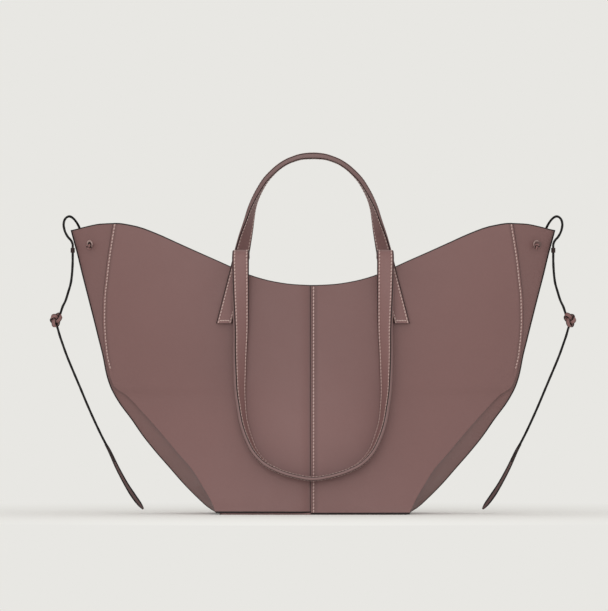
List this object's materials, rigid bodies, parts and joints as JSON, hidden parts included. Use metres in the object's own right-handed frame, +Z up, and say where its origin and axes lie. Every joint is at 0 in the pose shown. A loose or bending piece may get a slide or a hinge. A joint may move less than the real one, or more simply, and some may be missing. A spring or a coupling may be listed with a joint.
{
  "type": "tote bag",
  "caption": "Winged leather tote bag with an open mouth, flat base, folded side panels, a standing hand strap, a long hanging shoulder strap and side laces.",
  "frame": {"origin": "middle of the base's underside, where the bag stands", "axes": "+Z up, +X along the mouth from wing to wing, -Y the front with the long strap"},
  "size_m": [0.5418, 0.1819, 0.372],
  "materials": {
    "body_leather": "smooth fine-grained calf leather, satin",
    "strap_leather": "smooth leather with painted edges, satin",
    "patch_leather": "bare inner side of the leather, matt",
    "lace_leather": "dark rolled leather lace, matt",
    "eyelet": "lacquered in the leather's colour",
    "board": "matt pressed board"
  },
  "bodies": {
    "root": {"front_panel_left": "body_leather", "front_panel_right": "body_leather", "back_panel_left": "body_leather", "back_panel_right": "body_leather", "gusset_left": "body_leather", "gusset_right": "body_leather", "base_panel": "body_leather", "base_board": "board", "front_patch_left": "patch_leather", "front_patch_right": "patch_leather", "back_patch_left": "patch_leather", "back_patch_right": "patch_leather", "shoulder_strap_foot_left": "strap_leather", "shoulder_strap_foot_right": "strap_leather", "shoulder_strap_fold_left": "strap_leather", "shoulder_strap_fold_right": "strap_leather", "hand_strap_foot_left": "strap_leather", "hand_strap_foot_right": "strap_leather", "hand_strap_bend_left": "strap_leather", "hand_strap_bend_right": "strap_leather", "eyelet_front_left": "eyelet", "eyelet_front_right": "eyelet", "eyelet_back_left": "eyelet", "eyelet_back_right": "eyelet", "lace_keeper_left": "strap_leather", "lace_keeper_right": "strap_leather", "stopper_knot_left": "lace_leather", "stopper_knot_right": "lace_leather", "lace_run_left": "lace_leather", "lace_run_right": "lace_leather"},
    "shoulder_loop": {"shoulder_strap": "strap_leather"},
    "hand_loop": {"hand_strap": "strap_leather"},
    "left_lace": {"lace_upper_left": "lace_leather", "lace_knot_left": "lace_leather", "lace_lower_left": "lace_leather", "lace_tip_left": "lace_leather"},
    "right_lace": {"lace_upper_right": "lace_leather", "lace_knot_right": "lace_leather", "lace_lower_right": "lace_leather", "lace_tip_right": "lace_leather"}
  },
  "joints": [
    {"name": "shoulder_strap_fold", "type": "hinge", "parent": "root", "child": "shoulder_loop", "pos_m": [0, -0.06098, 0.264], "axis": [-1, 0, 0], "range_deg": [0, 180], "deforming": ["shoulder_strap_fold_left", "shoulder_strap_fold_right"]},
    {"name": "hand_strap_bend", "type": "hinge", "parent": "root", "child": "hand_loop", "pos_m": [0, 0.055, 0.263], "axis": [-1, 0, 0], "range_deg": [-75, 130], "stiffness_Nm_per_rad": 0.08, "deforming": ["hand_strap_bend_left", "hand_strap_bend_right"]},
    {"name": "left_lace_swing", "type": "hinge", "parent": "root", "child": "left_lace", "pos_m": [-0.2482, -0.003, 0.27045], "axis": [0, 1, 0], "range_deg": [-10, 25], "stiffness_Nm_per_rad": 0.02},
    {"name": "right_lace_swing", "type": "hinge", "parent": "root", "child": "right_lace", "pos_m": [0.2482, -0.003, 0.27045], "axis": [0, -1, 0], "range_deg": [-10, 25], "stiffness_Nm_per_rad": 0.02}
  ]
}
